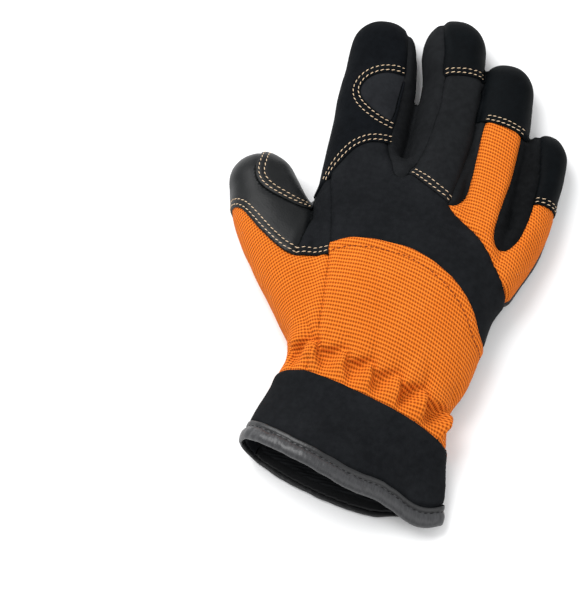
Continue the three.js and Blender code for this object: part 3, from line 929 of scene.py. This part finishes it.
def knit_finish():
    """Orange rib knit: raised ribs across the hand, with small holes in the valleys; the valleys, the gaps
    between columns and the holes are painted darker, as painted shade.
    """
    rib, column = 1.43, 0.95
    f = Finish("orange_rib_knit", 0.85, 0.08)
    u, v, _ = f.parts(f.cloth)
    wobble = f.noise(160)
    v = f.math("ADD", v, f.ramp(wobble, -0.16, 0.16))
    u = f.math("ADD", u, f.ramp(wobble, -0.12, 0.12))
    rows = f.math("MULTIPLY", v, 2 * math.pi / rib)
    columns = f.math("MULTIPLY", u, 2 * math.pi / column)
    ridge = f.ramp(f.math("COSINE", rows), 0, 1, -1, 1)
    bar = f.ramp(f.math("COSINE", columns), 0, 1, -1, 1)
    valley = f.math("POWER", f.math("SUBTRACT", 1.0, ridge), 1.3)
    between = f.math("POWER", f.math("SUBTRACT", 1.0, bar), 1.3)
    gap = f.math("MULTIPLY", valley, f.math("ADD", f.math("MULTIPLY", between, 0.85), 0.15))
    base = f.mix(f.noise(900, 3), (0.74, 0.176, 0.014), (0.94, 0.272, 0.036))
    base = f.mix(f.ramp(f.noise(60), 0, 0.35, 0.35, 0.75), base, (0.70, 0.152, 0.010))
    # Painted shade: the gaps between columns, the rib valleys and the holes in them are darkened in colour.
    shaded = f.mix(f.math("MULTIPLY", between, 0.5), base, (0.52, 0.088, 0.004))
    shaded = f.mix(f.math("MULTIPLY", valley, 0.55), shaded, (0.42, 0.066, 0.003))
    f.color(f.mix(f.math("MULTIPLY", gap, 0.75), shaded, (0.14, 0.018, 0.001)))
    height = f.math("ADD", f.math("MULTIPLY", ridge, 0.65), f.math("MULTIPLY", bar, 0.35))
    f.bump(f.math("SUBTRACT", height, f.math("MULTIPLY", gap, 0.6)), 0.4, 0.85)
    return f.material


def softshell_finish(name, low, high, roughness=0.85):
    """Black close-woven cloth with a slightly mottled face."""
    f = Finish(name, roughness, 0.06)
    mottle = f.noise(420, 4, 0.65)
    cloud = f.noise(55)
    shade = f.math("ADD", f.ramp(mottle, 0, 0.7, 0.3, 0.7), f.ramp(cloud, -0.25, 0.3, 0.3, 0.7))
    f.color(f.mix(shade, low, high))
    f.bump(f.noise(2600), 0.1, 0.5)
    f.bump(mottle, 0.14, 0.4)
    return f.material


def leather_finish(name, low, high, roughness, specular):
    """Smooth synthetic leather with a fine grain and a soft sheen."""
    f = Finish(name, roughness, specular)
    grain = f.node("ShaderNodeTexVoronoi", {"Vector": f.object, "Scale": 1500}, "Distance")
    cloud = f.noise(90, 3)
    f.color(f.mix(cloud, low, high))
    f.rough(f.ramp(cloud, roughness - 0.06, roughness + 0.1))
    f.bump(grain, 0.07, 0.5)
    f.bump(f.noise(300, 3), 0.16, 0.35)
    return f.material


def tape_finish():
    """Grey satin tape, woven across its width, darker along the strip above its seam; its weave tone is
    partly painted sheen, and its turned-in part is painted near black as painted shade.
    """
    f = Finish("grey_satin_tape", 0.36, 0.45)
    across = f.parts(f.cloth)[1]
    stretched = f.node("ShaderNodeMapping", {"Vector": f.cloth, "Scale": (3.2, 0.3, 1)})
    weave = f.noise(1.0, 3, places=stretched)
    # Weave tone with a wide contrast: partly the satin's own streaks, partly painted sheen.
    satin_weave_and_sheen = f.mix(weave, (0.003, 0.0033, 0.004), (0.052, 0.053, 0.057))
    above_seam = TAPE_WIDTH - TAPE_SEAM
    strip = f.ramp(across, 1, 0, above_seam + 0.3, above_seam + 0.9)
    outside = f.mix(strip, satin_weave_and_sheen, (0.007, 0.0075, 0.0085))
    # Painted shade: the tape's turned-in part, inside the mouth, is coloured near black though it is the
    # same grey tape.
    turned_in_shade = f.ramp(across, 0, 1, TAPE_WIDTH + 2.8, TAPE_WIDTH + 3.4)
    f.color(f.mix(turned_in_shade, outside, (0.004, 0.0043, 0.005)))
    f.rough(f.ramp(weave, 0.3, 0.46))
    f.bump(weave, 0.14, 0.55)
    return f.material


def lining_finish():
    """Black fine rib knit, its colour darker in the rib valleys: painted shade."""
    f = Finish("black_knit_lining", 0.9, 0.1)
    rib = 1.2 * MM
    along = f.math("ADD", f.parts(f.object)[1], f.ramp(f.noise(120), -rib / 2, rib / 2))
    ribs = f.math("SINE", f.math("MULTIPLY", along, 2 * math.pi / rib))
    # Painted shade: the colour follows the ribs' height, darker in their valleys.
    f.color(f.mix(f.ramp(ribs, 0, 1, -1, 1), (0.006, 0.0066, 0.0074), (0.012, 0.013, 0.0145)))
    f.bump(ribs, 0.08, 0.5)
    return f.material


def thread_finish(name, low, high):
    """Sewing thread, uneven along its length."""
    f = Finish(name, 0.65, 0.2)
    f.color(f.mix(f.noise(1400), low, high))
    return f.material


STITCH = {"length": 1.5, "space": 0.48, "width": 0.34, "height": 0.32, "slant": 0.2}


def sewn_row(path, cloth, size=STITCH):
    """The stitches of one row: middle, run and up for each, with its width and height."""
    path = eased(spaced(path, 0.5), 4)
    along = np.concatenate(([0], np.cumsum(np.linalg.norm(np.diff(path, axis=0), axis=1))))
    count = int(along[-1] / (size["length"] + size["space"]))
    found = []
    for k in range(count):
        start = (k + 0.5) * along[-1] / count
        ends = []
        for step in (-size["length"] / 2, size["length"] / 2):
            at = Vector([np.interp(start + step, along, path[:, axis]) for axis in range(3)])
            ends.append(cloth.find_nearest(at))
        middle, up, _, _ = cloth.find_nearest((ends[0][0] + ends[1][0]) / 2)
        run = ends[1][0] - ends[0][0]
        run += up.cross(run) * (size["slant"] * (1 + 0.5 * noise.noise((k * 1.9, along[-1], 0.3))))
        found.append((middle, run, up, size["width"], size["height"]))
    return found


THREAD_TAPER = 0.35      # how much narrower a stitch is at its ends
THREAD_SINKS = 0.2       # how much deeper its ends lie


def stitches_mesh(name, rows):
    """All stitches of one thread as one mesh of small spindles."""
    bm = bmesh.new()
    for middle, run, up, width, height in rows:
        made = bmesh.ops.create_uvsphere(bm, u_segments=6, v_segments=5, radius=0.5)
        across = up.cross(run).normalized()
        ahead = run.normalized()
        rise = ahead.cross(across)
        for vert in made["verts"]:
            x, y, z = vert.co
            full = 1 - THREAD_TAPER * (2 * z) ** 2
            lift = y * height * full + THREAD_SINKS * (full - 0.5)
            vert.co = middle + ahead * (z * run.length) + across * (x * width * full) + rise * lift
    bmesh.ops.recalc_face_normals(bm, faces=bm.faces)
    for vert in bm.verts:
        vert.co.z = max(vert.co.z, FLOOR_CLEARANCE)
        vert.co = in_frame(vert.co)
    obj = finished(name, bm)
    obj.data.shade_smooth()
    return obj


def beside(line, ground, labels, toward, distance):
    """The line moved over the skin by a distance, to the side on which one panel lies."""
    line = eased(spaced(line, 0.8), 6)
    number = PANELS.index(toward)
    look = 1.5               # how far from the line the panel is looked for
    votes = 0
    sides = []
    for p, run in zip(line, np.gradient(line, axis=0)):
        _, normal, _, _ = ground.find_nearest(Vector(p))
        side = normal.cross(Vector(run)).normalized()
        face = ground.find_nearest(Vector(p) + side * look)[2]
        back = ground.find_nearest(Vector(p) - side * look)[2]
        votes += int(labels[face] == number) - int(labels[back] == number)
        sides.append(side)
    way = 1 if votes >= 0 else -1
    moved = [Vector(p) + side * (distance * way) for p, side in zip(line, sides)]
    return eased(laid_on(ground, moved), 3)


TAPE_WIDTH = 6.4
TAPE_SEAM = 4.25         # from the hem to the seam that holds the tape
TAPE_COUNT = 430         # sections round the hem
TAPE_CLEARANCE = 0.03    # from the floor
UNDER_TAPE = 0.8         # how far the cloth is pressed under the tape
PUCKER = 0.3
# Round the tape: how far from the hem up the glove, and how far out of its skin
TAPE_PROFILE = (
    (6.4, -0.3), (6.35, 0.3), (6.0, 0.5), (5.3, 0.52), (4.7, 0.4), (4.25, -0.02), (3.8, 0.5),
    (3.1, 1.1), (2.1, 1.45), (1.0, 1.5), (-0.1, 1.25), (-0.85, 0.6), (-1.1, -0.2), (-0.95, -0.95),
    (-0.3, -1.4), (0.6, -1.5), (1.1, -1.3), (0.6, -1.0), (0.4, -0.6), (0.6, -0.2), (2.6, -0.25),
    (4.8, -0.4),
)
TAPE_ROLL = range(6, 15)   # the places of the profile on its loose outer roll


def hem_frame(count):
    """Evenly spaced places round the hem, with the way up the glove and the way out of it at each."""
    rings = [body_ring(at) for at in (0, 0.9)]
    rings = [np.vstack((ring, ring[:1])) for ring in rings]
    along = np.concatenate(([0], np.cumsum(np.linalg.norm(np.diff(rings[0], axis=0), axis=1))))
    at = np.linspace(0, along[-1], count, endpoint=False)
    rim, inner = (np.column_stack([np.interp(at, along, ring[:, axis]) for axis in range(3)])
                  for ring in rings)
    inward = eased(inner - rim, 8, True)
    runs = np.roll(rim, -1, axis=0) - np.roll(rim, 1, axis=0)
    outward = np.cross(inward, runs)
    if (outward * (rim - rim.mean(axis=0))).sum() < 0:
        outward = -outward
    outward = eased(outward / np.linalg.norm(outward, axis=1)[:, None], 3, True)
    inward = inward / np.linalg.norm(inward, axis=1)[:, None]
    outward = outward / np.linalg.norm(outward, axis=1)[:, None]
    return rim, inward, outward, along[-1] / count


def pucker_at(x, y, ahead):
    """How far the tape stands out of its profile, at a place on a circle as long as the hem."""
    x, y = x + 0.6 * ahead, y - 0.6 * ahead
    broad = noise.noise((x * 0.42, y * 0.42, 4.0))
    narrow = 0.7 * noise.noise((x * 0.95, y * 0.95, 1.0 + ahead * 0.1))
    drawn_in = hump(ahead, TAPE_SEAM - 1.2, 1.3) * noise.noise((x * 1.7, y * 1.7, 9.0))
    return PUCKER * (broad + narrow + 0.8 * drawn_in)


def tape_piece(material):
    """Grey tape folded round the hem, puckered where it is sewn."""
    rim, inward, outward, step = hem_frame(TAPE_COUNT)
    length = TAPE_COUNT * step
    width = [0.0]
    for (a, b), (c, d) in zip(TAPE_PROFILE, TAPE_PROFILE[1:]):
        width.append(width[-1] + math.hypot(c - a, d - b))
    bm = bmesh.new()
    layer = bm.loops.layers.uv.new("cloth")
    loops = []
    where = {}
    for k, (p, up_glove, out_of_it) in enumerate(zip(rim, inward, outward)):
        angle = 2 * math.pi * k / TAPE_COUNT
        x, y = (way * length / (2 * math.pi) for way in (math.cos(angle), math.sin(angle)))
        wave = 0.3 * noise.noise((x * 0.2, y * 0.2, 6.0))
        full = 0.66 + 0.34 * out_of_it[2]
        made = bmesh.ops.create_circle(bm, segments=len(TAPE_PROFILE), radius=1)
        for m, (vert, (ahead, out)) in enumerate(zip(made["verts"], TAPE_PROFILE)):
            loose = 1 if m in TAPE_ROLL else 0.3
            push = (out + pucker_at(x, y, ahead) * loose) * full
            spot = Vector(p + up_glove * (ahead + wave) + out_of_it * push)
            spot.z = max(spot.z, TAPE_CLEARANCE)
            vert.co = in_frame(spot)
            where[vert] = (k * step, width[m])
        loops.append(list({e for v in made["verts"] for e in v.link_edges}))
    for first, second in zip(loops, loops[1:] + loops[:1]):
        bmesh.ops.bridge_loops(bm, edges=first + second)
    bmesh.ops.recalc_face_normals(bm, faces=bm.faces)
    for face in bm.faces:
        far_round = max(where[corner.vert][0] for corner in face.loops)
        for corner in face.loops:
            s, v = where[corner.vert]
            corner[layer].uv = (s + length if far_round - s > length / 2 else s, v)
    obj = finished("hem_tape", bm)
    obj.data.shade_smooth()
    smooth = obj.modifiers.new("round", "SUBSURF")
    smooth.levels = smooth.render_levels = 1
    dress(obj, "hem_tape", ["cuff_binding"], material)
    groove = rim + inward * TAPE_SEAM + outward * 0.1
    return obj, np.vstack((groove, groove[:1]))


LINING_DEPTH = 42


def lining_piece(hand, skin, material):
    """The knit lining, as deep as it shows in the mouth, with soft folds of its own."""
    past_hem = skin.past_hem()
    obj = workpiece("mouth_lining", hand.data.copy())
    bm = bmesh.new()
    bm.from_mesh(obj.data)
    bm.verts.ensure_lookup_table()
    for vert, p, normal, past in zip(bm.verts, skin.points, skin.normals(), past_hem):
        fold = noise.noise(Vector((p[0] * 0.16, p[1] * 0.05, p[2] * 0.1)))
        fold += 0.5 * noise.noise(Vector(p) * 0.2)
        crease = past + 1.2 * noise.noise(Vector((p[0] * 0.12, 2.0, 0.0)))
        slack = 0.45 + 0.35 * min(max(past / 8, 0), 1)
        slack += 0.4 * hump(crease, 4.2, 0.9) - 0.35 * hump(crease, 8.5, 0.8)
        slack += 0.9 * (0.6 + fold) * smoothstep(1, 12, past)
        vert.co = in_frame(Vector(p - normal * (CLOTH + slack)) + Vector((0, 0.5, 0)))
    outside = [f for f in bm.faces if max(past_hem[v.index] for v in f.verts) > LINING_DEPTH]
    bmesh.ops.delete(bm, geom=outside, context="FACES")
    bmesh.ops.reverse_faces(bm, faces=bm.faces)
    bm.to_mesh(obj.data)
    bm.free()
    obj.data.shade_smooth()
    dress(obj, "mouth_lining", ["cuff_lining"], material)
    thicken(obj, 0.5)


hand = hand_solid()
trim_hem(hand.data)
skin = Skin(hand.data)
skin.relax(8)
smooth_webs(skin)
even_hem(skin)
labels = label_faces(skin)
even_seams(skin, labels)
edges, pairs = seam_edges(skin, labels)
seams = {}
for pair in np.unique(pairs, axis=0):
    chosen = edges[(pairs == pair).all(axis=1)]
    names = tuple(sorted((PANELS[pair[0]], PANELS[pair[1]])))
    if len(chosen) > 12:
        seams[names] = ordered_line(skin, chosen)
smooth_points = skin.points.copy()
gather(skin, labels, seams)
soften(skin)
ground = skin.tree()
for pair, line in seams.items():
    seams[pair] = laid_on(ground, line)

KNIT = knit_finish()
SOFTSHELL = softshell_finish("black_softshell", (0.0050, 0.0056, 0.0066), (0.0102, 0.0112, 0.0128))
INSET_CLOTH = softshell_finish("black_inset_cloth", (0.0095, 0.0103, 0.012), (0.0165, 0.0178, 0.0205))
INDEX_CLOTH = softshell_finish("black_index_cloth", (0.0014, 0.0020, 0.0029), (0.004, 0.0051, 0.0068))
SIDE_CLOTH = softshell_finish("black_side_cloth", (0.0064, 0.0070, 0.0078), (0.0120, 0.0130, 0.0144))
# A darker copy of the side cloth for the deep wall between ring and little finger: painted shade.
SHADED_SIDE_CLOTH = softshell_finish("black_side_cloth_painted_shade", (0.0022, 0.0026, 0.0030), (0.0062, 0.0068, 0.0076))
TIP_CLOTH = softshell_finish("black_tip_cloth", (0.0006, 0.0012, 0.0018), (0.002, 0.0032, 0.0042), 0.7)
LEATHER = leather_finish(
    "black_synthetic_leather", (0.004, 0.0045, 0.005), (0.008, 0.0085, 0.0095), 0.5, 0.2)
THUMB_LEATHER = leather_finish(
    "black_thumb_leather", (0.0020, 0.0026, 0.0030), (0.0060, 0.0068, 0.0074), 0.42, 0.18)
PANEL_LOOKS = {
    "back_panel": ("back_of_hand_knit", "knit", KNIT),
    "thumb_panel": ("thumb_side_knit", "knit", KNIT),
    "finger_back_panel": ("ring_and_little_knit", "knit", KNIT),
    "knuckle_band": ("knuckle_cloth", "softshell", SOFTSHELL),
    "index_wrap": ("index_cloth", "leather", INDEX_CLOTH),
    "index_patch": ("index_inset", "softshell", INSET_CLOTH),
    "middle_back": ("middle_finger_cloth", "softshell", SIDE_CLOTH),
    "middle_tip_cap": ("middle_fingertip", "leather", TIP_CLOTH),
    "ring_tip_cap": ("ring_fingertip", "leather", TIP_CLOTH),
    "little_tip_cap": ("little_fingertip", "leather", TIP_CLOTH),
    "gusset_index_middle": ("index_and_middle_sides", "softshell", SIDE_CLOTH),
    "gusset_middle_ring": ("middle_and_ring_sides", "softshell", SIDE_CLOTH),
    # The wall between ring and little finger takes the darker copy of the side cloth: painted shade.
    "gusset_ring_little": ("ring_and_little_sides", "softshell", SHADED_SIDE_CLOTH),
    "thumb_tip": ("thumb_patch", "leather", THUMB_LEATHER),
    "thumb_back": ("thumb_cloth", "leather", THUMB_LEATHER),
    "side_strip": ("web_strip", "softshell", SOFTSHELL),
    "palm_panel": ("palm_leather", "leather", LEATHER),
    "cuff_band": ("cuff_cloth", "softshell", SOFTSHELL),
}
# Rows of tan stitches: the panel they are sewn on, the one beside it and how far from the seam
TAN_ROWS = (
    ("index_wrap", "knuckle_band", (1.0, 3.0)), ("index_wrap", "index_patch", (1.0, 3.0)),
    ("middle_tip_cap", "middle_back", (1.1, 2.9)), ("ring_tip_cap", "finger_back_panel", (1.1, 2.9)),
    ("little_tip_cap", "finger_back_panel", (1.1, 2.9)), ("middle_back", "knuckle_band", (1.0, 3.0)),
    ("thumb_tip", "thumb_back", (1.1, 3.1)), ("thumb_back", "thumb_panel", (1.3, 3.3)),
    ("side_strip", "thumb_panel", (1.3, 3.3)),
)
PATCH_RIGHT = -0.172     # the index patch has no stitches past this share of the width
ROW_END = 1.6            # how far the rows of the index finger run on past their seam
TOPSTITCH = 3.6          # from the knuckle band's seam to the orange row


def row_paths():
    """The line of each row of tan stitches, by the panel it is sewn on."""
    found = {}
    for on, other, offsets in TAN_ROWS:
        line = seams.get(tuple(sorted((on, other))))
        if line is None:
            continue
        if other == "index_patch":
            line = longest_run(line, line[:, 0] < PATCH_RIGHT * PALM_WIDTH)
        for offset in offsets:
            row = beside(line, ground, labels, on, offset)
            if on == "index_wrap":
                before = row[0] + unit(row[0] - row[3]) * ROW_END
                after = row[-1] + unit(row[-1] - row[-4]) * ROW_END
                row = np.vstack((before, row, after))
            found.setdefault(on, []).append(row)
    return found


def web_seams():
    """Seams of the palm's leather round the forks between the fingers."""
    found = []
    angle = np.linspace(math.pi, 2 * math.pi, 60)
    for x, y in WEBS[:3]:
        across = (x + 0.13 * np.cos(angle)) * PALM_WIDTH
        along = (y + 0.03 + 0.055 * np.sin(angle)) * GLOVE_LENGTH
        found.append(laid_on(ground, [(a, b, 0) for a, b in zip(across, along)]))
    return found


def longest_run(line, wanted):
    """The longest stretch of a line, closed or not, whose points are all wanted."""
    if not wanted.all():
        first = int(np.flatnonzero(~wanted)[0])
        line, wanted = np.roll(line, -first, axis=0), np.roll(wanted, -first)
    best = (0, 0)
    start = None
    for i, good in enumerate(list(wanted) + [False]):
        if good and start is None:
            start = i
        if not good and start is not None:
            best = max(best, (i - start, start))
            start = None
    return line[best[1]:best[1] + best[0]]


tan_paths = row_paths()
topstitch = beside(seams[("back_panel", "knuckle_band")], ground, labels, "back_panel", TOPSTITCH)
lining_piece(hand, skin, lining_finish())
normals = skin.normals()
cloth_points, cloth_faces = [], []
for name, obj in cut_panels(hand, skin, labels).items():
    piece_name, slot, material = PANEL_LOOKS[name]
    rows = list(tan_paths.get(name, []))
    if name == "back_panel":
        rows.append(topstitch)
    if name == "palm_panel":
        rows += web_seams()
    if material is KNIT:
        lay_flat(obj, name, smooth_points)
    points = shape_panel(obj, name, skin, normals, seams, rows)
    start = len(cloth_points)
    cloth_points += [tuple(p) for p in points]
    cloth_faces += [tuple(start + v for v in face.vertices) for face in obj.data.polygons]
    dress(obj, piece_name, [name], material)
    thicken(obj, CLOTH)
    if name == "palm_panel":
        rest_on_floor(obj)
for name in PANELS:
    bpy.data.materials.remove(bpy.data.materials[name])

cloth = BVHTree.FromPolygons(cloth_points, cloth_faces)
tan = [stitch for paths in tan_paths.values() for path in paths for stitch in sewn_row(path, cloth)]
dress(stitches_mesh("tan_stitches", tan), "tan_stitches", [],
      thread_finish("tan_thread", (0.50, 0.34, 0.20), (0.84, 0.66, 0.46)))
# The topstitch thread is the knit's own orange; its stitches are coloured dark reddish brown for the shade
# in their needle holes: painted shade.
orange = sewn_row(topstitch, cloth, {**STITCH, "width": 0.44, "height": 0.26, "slant": 0.05})
dress(stitches_mesh("orange_stitches", orange), "orange_stitches", [],
      thread_finish("orange_thread_painted_shade", (0.09, 0.012, 0.001), (0.20, 0.030, 0.002)))
tape, groove = tape_piece(tape_finish())
tape_ground = BVHTree.FromPolygons([tuple(in_tables(v.co)) for v in tape.data.vertices],
                                   [tuple(p.vertices) for p in tape.data.polygons])
dark = sewn_row(groove, tape_ground, {**STITCH, "length": 1.9, "space": 0.4, "width": 0.5})
dress(stitches_mesh("hem_stitches", dark), "hem_stitches", [],
      thread_finish("black_thread", (0.004, 0.004, 0.0045), (0.012, 0.012, 0.013)))

# Floor, light and camera
CAMERA_AZIMUTH = math.radians(13)
CAMERA_ELEVATION = math.radians(65)
CAMERA_DISTANCE = 1.4
CAMERA_TARGET = Vector((-25.6, -26.44, 9.5)) * MM
LENS = 235.5


def floor():
    bm = bmesh.new()
    bmesh.ops.create_grid(bm, x_segments=1, y_segments=1, size=3)
    obj = finished("floor", bm)
    obj.data.materials.append(Finish("pale_floor", 0.9, 0.05, (0.93, 0.935, 0.94)).material)


def area_light(name, place, size, power):
    data = bpy.data.lights.new(name, "AREA")
    data.shape = "DISK"
    data.size = size
    data.energy = power
    obj = workpiece(name, data)
    obj.location = place
    obj.rotation_euler = (-Vector(place)).to_track_quat("-Z", "Y").to_euler()


def camera():
    right = Vector((math.cos(CAMERA_AZIMUTH), math.sin(CAMERA_AZIMUTH), 0))
    up = Vector((-math.sin(CAMERA_AZIMUTH) * math.sin(CAMERA_ELEVATION),
                 math.cos(CAMERA_AZIMUTH) * math.sin(CAMERA_ELEVATION), math.cos(CAMERA_ELEVATION)))
    back = right.cross(up)
    data = bpy.data.cameras.new("camera")
    data.lens = LENS
    data.sensor_fit = "HORIZONTAL"
    data.sensor_width = 36
    obj = workpiece("camera", data)
    obj.rotation_euler = Matrix((right, up, back)).transposed().to_euler()
    obj.location = CAMERA_TARGET + back * CAMERA_DISTANCE
    bpy.context.scene.camera = obj


floor()
area_light("key", (-0.55, 0.3, 0.85), 0.9, 12)
area_light("fill", (0.9, -0.5, 0.9), 1.2, 4)
camera()
world = bpy.data.worlds.new("studio")
world.use_nodes = True
world.node_tree.nodes["Background"].inputs[0].default_value = (1, 1, 1, 1)
world.node_tree.nodes["Background"].inputs[1].default_value = 0.83
bpy.context.scene.world = world
bpy.context.scene.view_settings.view_transform = "Standard"
